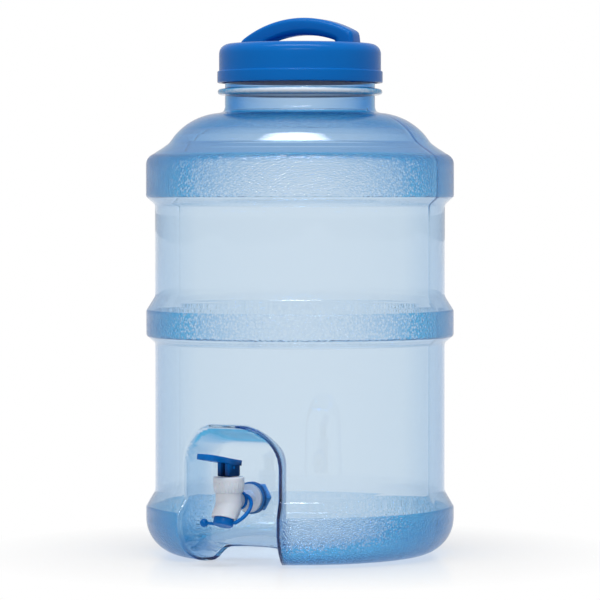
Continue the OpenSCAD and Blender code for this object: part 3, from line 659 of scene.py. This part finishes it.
# ---------------------------------------------------------------- threads and ribs
class Grower:
    """A Geometry Nodes tree with named inputs, and short ways to add and join its nodes."""

    def __init__(self, name, **sizes):
        self.tree = bpy.data.node_groups.new(name, "GeometryNodeTree")
        face = self.tree.interface
        face.new_socket("Geometry", in_out="OUTPUT", socket_type="NodeSocketGeometry")
        for label, kind in sizes.items():
            face.new_socket(label, in_out="INPUT", socket_type="NodeSocket" + kind)
        face.new_socket("Finish", in_out="INPUT", socket_type="NodeSocketMaterial")
        self.given = self.tree.nodes.new("NodeGroupInput").outputs

    def add(self, kind, *links, **inputs):
        """A node with links into its first inputs in order, and the rest given by name."""
        node = self.tree.nodes.new(kind)
        for name, value in inputs.items():
            name = name.replace("_", " ")
            if isinstance(value, bpy.types.NodeSocket):
                self.tree.links.new(value, node.inputs[name])
            elif name in node.inputs:
                node.inputs[name].default_value = value
            else:
                setattr(node, name.replace(" ", "_"), value)
        for place, socket in enumerate(links):
            if socket is not None:
                self.tree.links.new(socket, node.inputs[place])
        return node.outputs[0]

    def end(self, shape):
        """Ends the tree: instances made real, and the finish put on."""
        whole = self.add("GeometryNodeRealizeInstances", shape)
        dressed = self.add("GeometryNodeSetMaterial", whole, Material=self.given["Finish"])
        self.tree.links.new(dressed, self.tree.nodes.new("NodeGroupOutput").inputs[0])
        return self.tree


def thread_tree():
    """A round ridge that winds up a cylinder and runs out at both ends."""
    g = Grower("thread", Turns="Float", Radius="Float", Rise="Float", Low="Float", Ridge="Float")
    coil = g.add("GeometryNodeCurveSpiral", Resolution=64, Rotations=g.given["Turns"],
                 Start_Radius=g.given["Radius"], End_Radius=g.given["Radius"], Height=g.given["Rise"])
    along = g.add("GeometryNodeSplineParameter")
    left = g.add("ShaderNodeMath", None, along, operation="SUBTRACT")
    g.tree.nodes[-1].inputs[0].default_value = 1.0
    near = g.add("ShaderNodeMath", along, left, operation="MINIMUM")
    grown = g.add("ShaderNodeMath", near, operation="MULTIPLY", use_clamp=True)
    g.tree.nodes[-1].inputs[1].default_value = 14.0
    coil = g.add("GeometryNodeSetCurveRadius", coil, Radius=grown)
    ring = g.add("GeometryNodeCurvePrimitiveCircle", Resolution=10, Radius=g.given["Ridge"])
    ridge = g.add("GeometryNodeCurveToMesh", coil, ring, Fill_Caps=True)
    lift = g.add("ShaderNodeCombineXYZ", Z=g.given["Low"])
    return g.end(g.add("GeometryNodeTransform", ridge, Translation=lift))


def rib_tree():
    """Upright ribs spaced evenly round a cone."""
    g = Grower("ribs", Count="Int", Radius="Float", Middle="Float", Height="Float", Lean="Float",
               Rib="Float")
    ring = g.add("GeometryNodeMeshCircle", Vertices=g.given["Count"], Radius=g.given["Radius"])
    rod = g.add("GeometryNodeMeshCylinder", Vertices=8, Radius=g.given["Rib"], Depth=g.given["Height"])
    share = g.add("ShaderNodeMath", None, g.given["Count"], operation="DIVIDE")
    g.tree.nodes[-1].inputs[0].default_value = math.tau
    turn = g.add("ShaderNodeMath", g.add("GeometryNodeInputIndex"), share, operation="MULTIPLY")
    tilt = g.add("ShaderNodeCombineXYZ", Y=g.given["Lean"], Z=turn)
    set_out = g.add("GeometryNodeInstanceOnPoints", ring, Instance=rod, Rotation=tilt)
    lift = g.add("ShaderNodeCombineXYZ", Z=g.given["Middle"])
    return g.end(g.add("GeometryNodeTransform", set_out, Translation=lift))


def grown(tree, finish, **sizes):
    """The mesh that a tree makes with these sizes."""
    obj = bpy.data.objects.new(tree.name, bpy.data.meshes.new(tree.name))
    bpy.context.scene.collection.objects.link(obj)
    made = obj.modifiers.new("grow", "NODES")
    made.node_group = tree
    for item in tree.interface.items_tree:
        if item.in_out == "INPUT":
            made[item.identifier] = finish if item.name == "Finish" else sizes[item.name]
    mesh = worked_out(obj)
    bpy.data.objects.remove(obj)
    return mesh


def threads_and_ribs():
    """The threads of neck, cap and shank, and the grip ribs of the bonnet."""
    thread = thread_tree()
    wide_threads = (("neck_thread", "bottle", CLEAR, 66.0, 418.0, 1.3),
                    ("cap_thread", "cap", BLUE, 68.8, 421.0, 1.2))
    for name, body, finish, radius, low, ridge in wide_threads:
        mesh = grown(thread, finish, Turns=2.5, Radius=radius * MM, Rise=15.0 * MM, Low=low * MM,
                     Ridge=ridge * MM)
        seat(mesh, name, finish, body)
    mesh = grown(thread, WHITE, Turns=2.0, Radius=8.7 * MM, Rise=3.2 * MM, Low=0.0, Ridge=0.7 * MM)
    at_nut = Matrix.Translation((0, NUT_Y * MM, TAP_Z * MM))
    mesh.transform(at_nut @ Matrix.Rotation(-math.pi / 2, 4, "X"))
    seat(mesh, "shank_thread", WHITE, "bottle")
    mesh = grown(rib_tree(), WHITE, Count=30, Radius=12.62 * MM, Middle=67.3 * MM, Height=8.6 * MM,
                 Lean=math.atan(1.2 / 9.4), Rib=0.42 * MM)
    mesh.transform(Matrix.Translation((0, BARREL_Y * MM, 0)))
    seat(mesh, "bonnet_ribs", WHITE, "bottle")


threads_and_ribs()


# ---------------------------------------------------------------- tap fittings
BODIES = frame["record"]["behaviour"]["bodies"]
BODY_OF = {node: body for body, nodes in BODIES.items() for node in nodes}


def soften(node, width=0.0, angle=28):
    """A merged copy of a rigid piece, smoothly shaded, with its sharp edges rounded by width."""
    mesh = frame["nodes"][node].data.copy()
    obj = seat(mesh, node + "_piece", FINISHES[node], BODY_OF[node], node)
    merged(mesh, flat=width > 0)
    if width:
        edge = obj.modifiers.new("edge", "BEVEL")
        edge.width, edge.segments = width * MM, 2
        edge.limit_method, edge.angle_limit = "ANGLE", math.radians(angle)
        edge.use_clamp_overlap = True
        mesh = worked_out(obj)
        obj.modifiers.remove(edge)
        obj.data = mesh
    shade_by_angle(mesh, 32)
    return mesh


def shade_by_angle(mesh, angle):
    """Smooth shading that keeps edges sharper than angle."""
    for face in mesh.polygons:
        face.use_smooth = True
    bm = bmesh.new()
    bm.from_mesh(mesh)
    limit = math.radians(angle)
    for edge in bm.edges:
        edge.smooth = len(edge.link_faces) == 2 and edge.calc_face_angle(0) < limit
    bm.to_mesh(mesh)
    bm.free()


def through(a, b, c, n):
    """Points on the circle through a, b and c, from a to c."""
    a, b, c = (np.array(p, float) for p in (a, b, c))
    ab, ac = b - a, c - a
    axis = np.cross(ab, ac)
    off = np.cross(axis, ab) * (ac @ ac) + np.cross(ac, axis) * (ab @ ab)
    middle = a + off / (2 * (axis @ axis))
    u = (a - middle) / np.linalg.norm(a - middle)
    v = np.cross(axis / np.linalg.norm(axis), u)
    end = c - middle
    sweep = math.atan2(end @ v, end @ u) % math.tau
    r = np.linalg.norm(end)
    turns = [sweep * k / n for k in range(n + 1)]
    return [middle + r * (u * math.cos(turn) + v * math.sin(turn)) for turn in turns]


def tube(path, half_w, half_t, up, n=14):
    """Points and faces of an oval bar along a path, with its narrow side along up."""
    path = np.array(path)
    pts = []
    for k, here in enumerate(path):
        on = path[min(k + 1, len(path) - 1)] - path[max(k - 1, 0)]
        on /= np.linalg.norm(on)
        side = np.cross(on, np.array(up, float))
        side /= np.linalg.norm(side)
        out = np.cross(side, on)
        pts += [here + side * half_w * math.cos(a) + out * half_t * math.sin(a)
                for a in np.arange(n) * math.tau / n]
    rows = len(path)
    faces = [(i * n + k, i * n + (k + 1) % n, (i + 1) * n + (k + 1) % n, (i + 1) * n + k)
             for i in range(rows - 1) for k in range(n)]
    return pts, faces + [tuple(reversed(range(n))), tuple(range((rows - 1) * n, rows * n))]


def tether():
    """Ring round the tap's neck, and the strap from it to the dust cap."""
    inside, outside, half = 7.35, 8.75, 1.5
    line = rounded([(inside, -half), (inside, half), (outside, half, 0.5), (outside, -half, 0.5),
                    (inside, -half)])[:-1]
    pts, faces = lathe(line, np.arange(0, 360, 7.5))
    mesh = mesh_of("tether_ring", [(x, z + RING_Y, y + TAP_Z) for x, y, z in pts], faces)
    tidy(mesh)
    seat(mesh, "tether_ring", BLUE, "bottle", "dust_cap_tether")
    path = [(6.9, RING_Y, 58.2)] + through(STRAP_ROOT, STRAP_BOW, STRAP_FOOT, 26)
    path += [(9.0, -130.6, 37.6), (8.0, -130.7, 37.6)]
    mesh = mesh_of("tether_strap", *tube(path, STRAP_HALF, STRAP_HALF, (1, 0.2, 0)))
    tidy(mesh)
    strap = seat(mesh, "tether_strap", BLUE, None, "dust_cap_tether")
    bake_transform(strap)


def spring():
    """The closing spring, a merged copy of its part with its top under the bonnet, set on no body."""
    mesh = frame["nodes"]["closing_spring"].data.copy()
    coil = seat(mesh, "spring_coil", STEEL, None, "closing_spring")
    merged(mesh)
    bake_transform(coil)


lever = soften("lever", 0.6)
# painted shade: the hub below the lever's plate is marked to take a darker navy, as if shaded by the plate
hub_shade_mark = [float(v.co.z < HUB_TOP * MM) for v in lever.vertices]
lever.attributes.new("thick", "FLOAT", "POINT").data.foreach_set("value", hub_shade_mark)
EDGES = {"tap_body": 0.4, "tap_bonnet": 0.3, "dust_cap": 0.4, "lock_nut": 0.8, "front_washer": 0.5,
         "back_washer": 0.5, "cap_seal": 0, "valve_stem": 0, "valve_plug": 0, "lever_pin": 0}
for name, width in EDGES.items():
    soften(name, width)
tether()
spring()


# ---------------------------------------------------------------- studio
VIEW_TURN = math.radians(29.5)
TOWARDS = Vector((math.sin(VIEW_TURN), -math.cos(VIEW_TURN), 0))
ASIDE = Vector((math.cos(VIEW_TURN), math.sin(VIEW_TURN), 0))
UP = Vector((0, 0, 1))


def floor():
    """A pale, slightly glossy floor that turns to plain white away from the object."""
    bpy.ops.mesh.primitive_plane_add(size=40, location=(0, 0, 0))
    plane = bpy.context.object
    plane.name = "studio_floor"
    f = Finish("studio_floor")
    f.set(Base_Color=(0.86, 0.86, 0.87, 1), Roughness=0.16, Specular_IOR_Level=0.45)
    rays = f.add("ShaderNodeLightPath")
    seen = f.sums("MAXIMUM", rays.outputs["Is Camera Ray"],
                  f.sums("MAXIMUM", rays.outputs["Is Glossy Ray"], rays.outputs["Is Transmission Ray"]))
    place = f.add("ShaderNodeTexCoord")
    away = f.add("ShaderNodeVectorMath")
    away.operation = "LENGTH"
    f.join(place.outputs["Object"], away.inputs[0])
    fade = f.spread(away.outputs["Value"], 0.45, 1.0, 0.14, 0.30)
    white = f.add("ShaderNodeEmission", Color=(1, 1, 1, 1), Strength=1.0)
    pick = f.add("ShaderNodeMixShader")
    f.join(f.sums("MULTIPLY", seen, fade), pick.inputs[0])
    f.join(f.shader.outputs[0], pick.inputs[1])
    f.join(white.outputs[0], pick.inputs[2])
    f.join(pick.outputs[0], f.out.inputs["Surface"])
    plane.data.materials.append(f.made)


def surround():
    """White surround as seen and as mirrored, and a softer white as light."""
    world = bpy.data.worlds.new("studio")
    bpy.context.scene.world = world
    world.use_nodes = True
    tree = world.node_tree
    back = tree.nodes["Background"]
    back.inputs["Color"].default_value = (1, 1, 1, 1)
    rays = tree.nodes.new("ShaderNodeLightPath")
    level = tree.nodes.new("ShaderNodeMapRange")
    level.inputs["To Min"].default_value = 0.52
    level.inputs["To Max"].default_value = 1.0
    tree.links.new(level.outputs["Result"], back.inputs["Strength"])
    seen = rays.outputs["Is Camera Ray"]
    for kind, share in (("Is Transmission Ray", 1.0), ("Is Glossy Ray", 0.3)):
        part = tree.nodes.new("ShaderNodeMath")
        part.operation = "MULTIPLY"
        part.inputs[1].default_value = share
        tree.links.new(rays.outputs[kind], part.inputs[0])
        either = tree.nodes.new("ShaderNodeMath")
        either.operation = "MAXIMUM"
        tree.links.new(seen, either.inputs[0])
        tree.links.new(part.outputs[0], either.inputs[1])
        seen = either.outputs[0]
    tree.links.new(seen, level.inputs["Value"])


def lamp(name, place, target, width, height, watts):
    """A soft box, brightest in its middle: 1.5 - 1.5 (2u - 1)^2 of its level across and along it."""
    data = bpy.data.lights.new(name, "AREA")
    data.shape, data.size, data.size_y, data.energy = "RECTANGLE", width, height, watts
    data.use_nodes = True
    tree = data.node_tree
    across = tree.nodes.new("ShaderNodeSeparateXYZ")
    tree.links.new(tree.nodes.new("ShaderNodeNewGeometry").outputs["Parametric"], across.inputs[0])
    level = None
    for side in across.outputs[:2]:
        for operation, value in (("SUBTRACT", 0.5), ("MULTIPLY", 2.0), ("POWER", 2.0), ("MULTIPLY", -1.5),
                                 ("ADD", 1.5)):
            step = tree.nodes.new("ShaderNodeMath")
            step.operation = "MULTIPLY" if operation == "POWER" else operation
            tree.links.new(side, step.inputs[0])
            if operation == "POWER":
                tree.links.new(side, step.inputs[1])
            else:
                step.inputs[1].default_value = value
            side = step.outputs[0]
        if level is not None:
            both = tree.nodes.new("ShaderNodeMath")
            both.operation = "MULTIPLY"
            tree.links.new(level, both.inputs[0])
            tree.links.new(side, both.inputs[1])
            side = both.outputs[0]
        level = side
    tree.links.new(level, tree.nodes["Emission"].inputs["Strength"])
    obj = bpy.data.objects.new(name, data)
    bpy.context.scene.collection.objects.link(obj)
    obj.location = place
    obj.rotation_euler = (Vector(target) - Vector(place)).to_track_quat("-Z", "Y").to_euler()


def camera():
    """The camera, three metres away and almost level."""
    away, height, down = 3.0, 0.315, 1.76
    data = bpy.data.cameras.new("camera")
    data.lens, data.sensor_width = 204.7, 36.0
    data.clip_start, data.clip_end = 0.05, 60
    obj = bpy.data.objects.new("camera", data)
    bpy.context.scene.collection.objects.link(obj)
    obj.location = (away * math.sin(VIEW_TURN), -away * math.cos(VIEW_TURN), height)
    obj.rotation_euler = (math.radians(90 - down), 0, VIEW_TURN)
    bpy.context.scene.camera = obj


floor()
surround()
lamp("key", TOWARDS * 2.2 - ASIDE * 0.1 + UP * 1.5, (0, 0, 0.25), 1.9, 0.14, 14)
lamp("top", TOWARDS * 0.57 - ASIDE * 0.05 + UP * 2.2, (0, 0, 0.2), 2.3, 0.5, 30)
camera()
bpy.context.scene.view_settings.view_transform = "Standard"
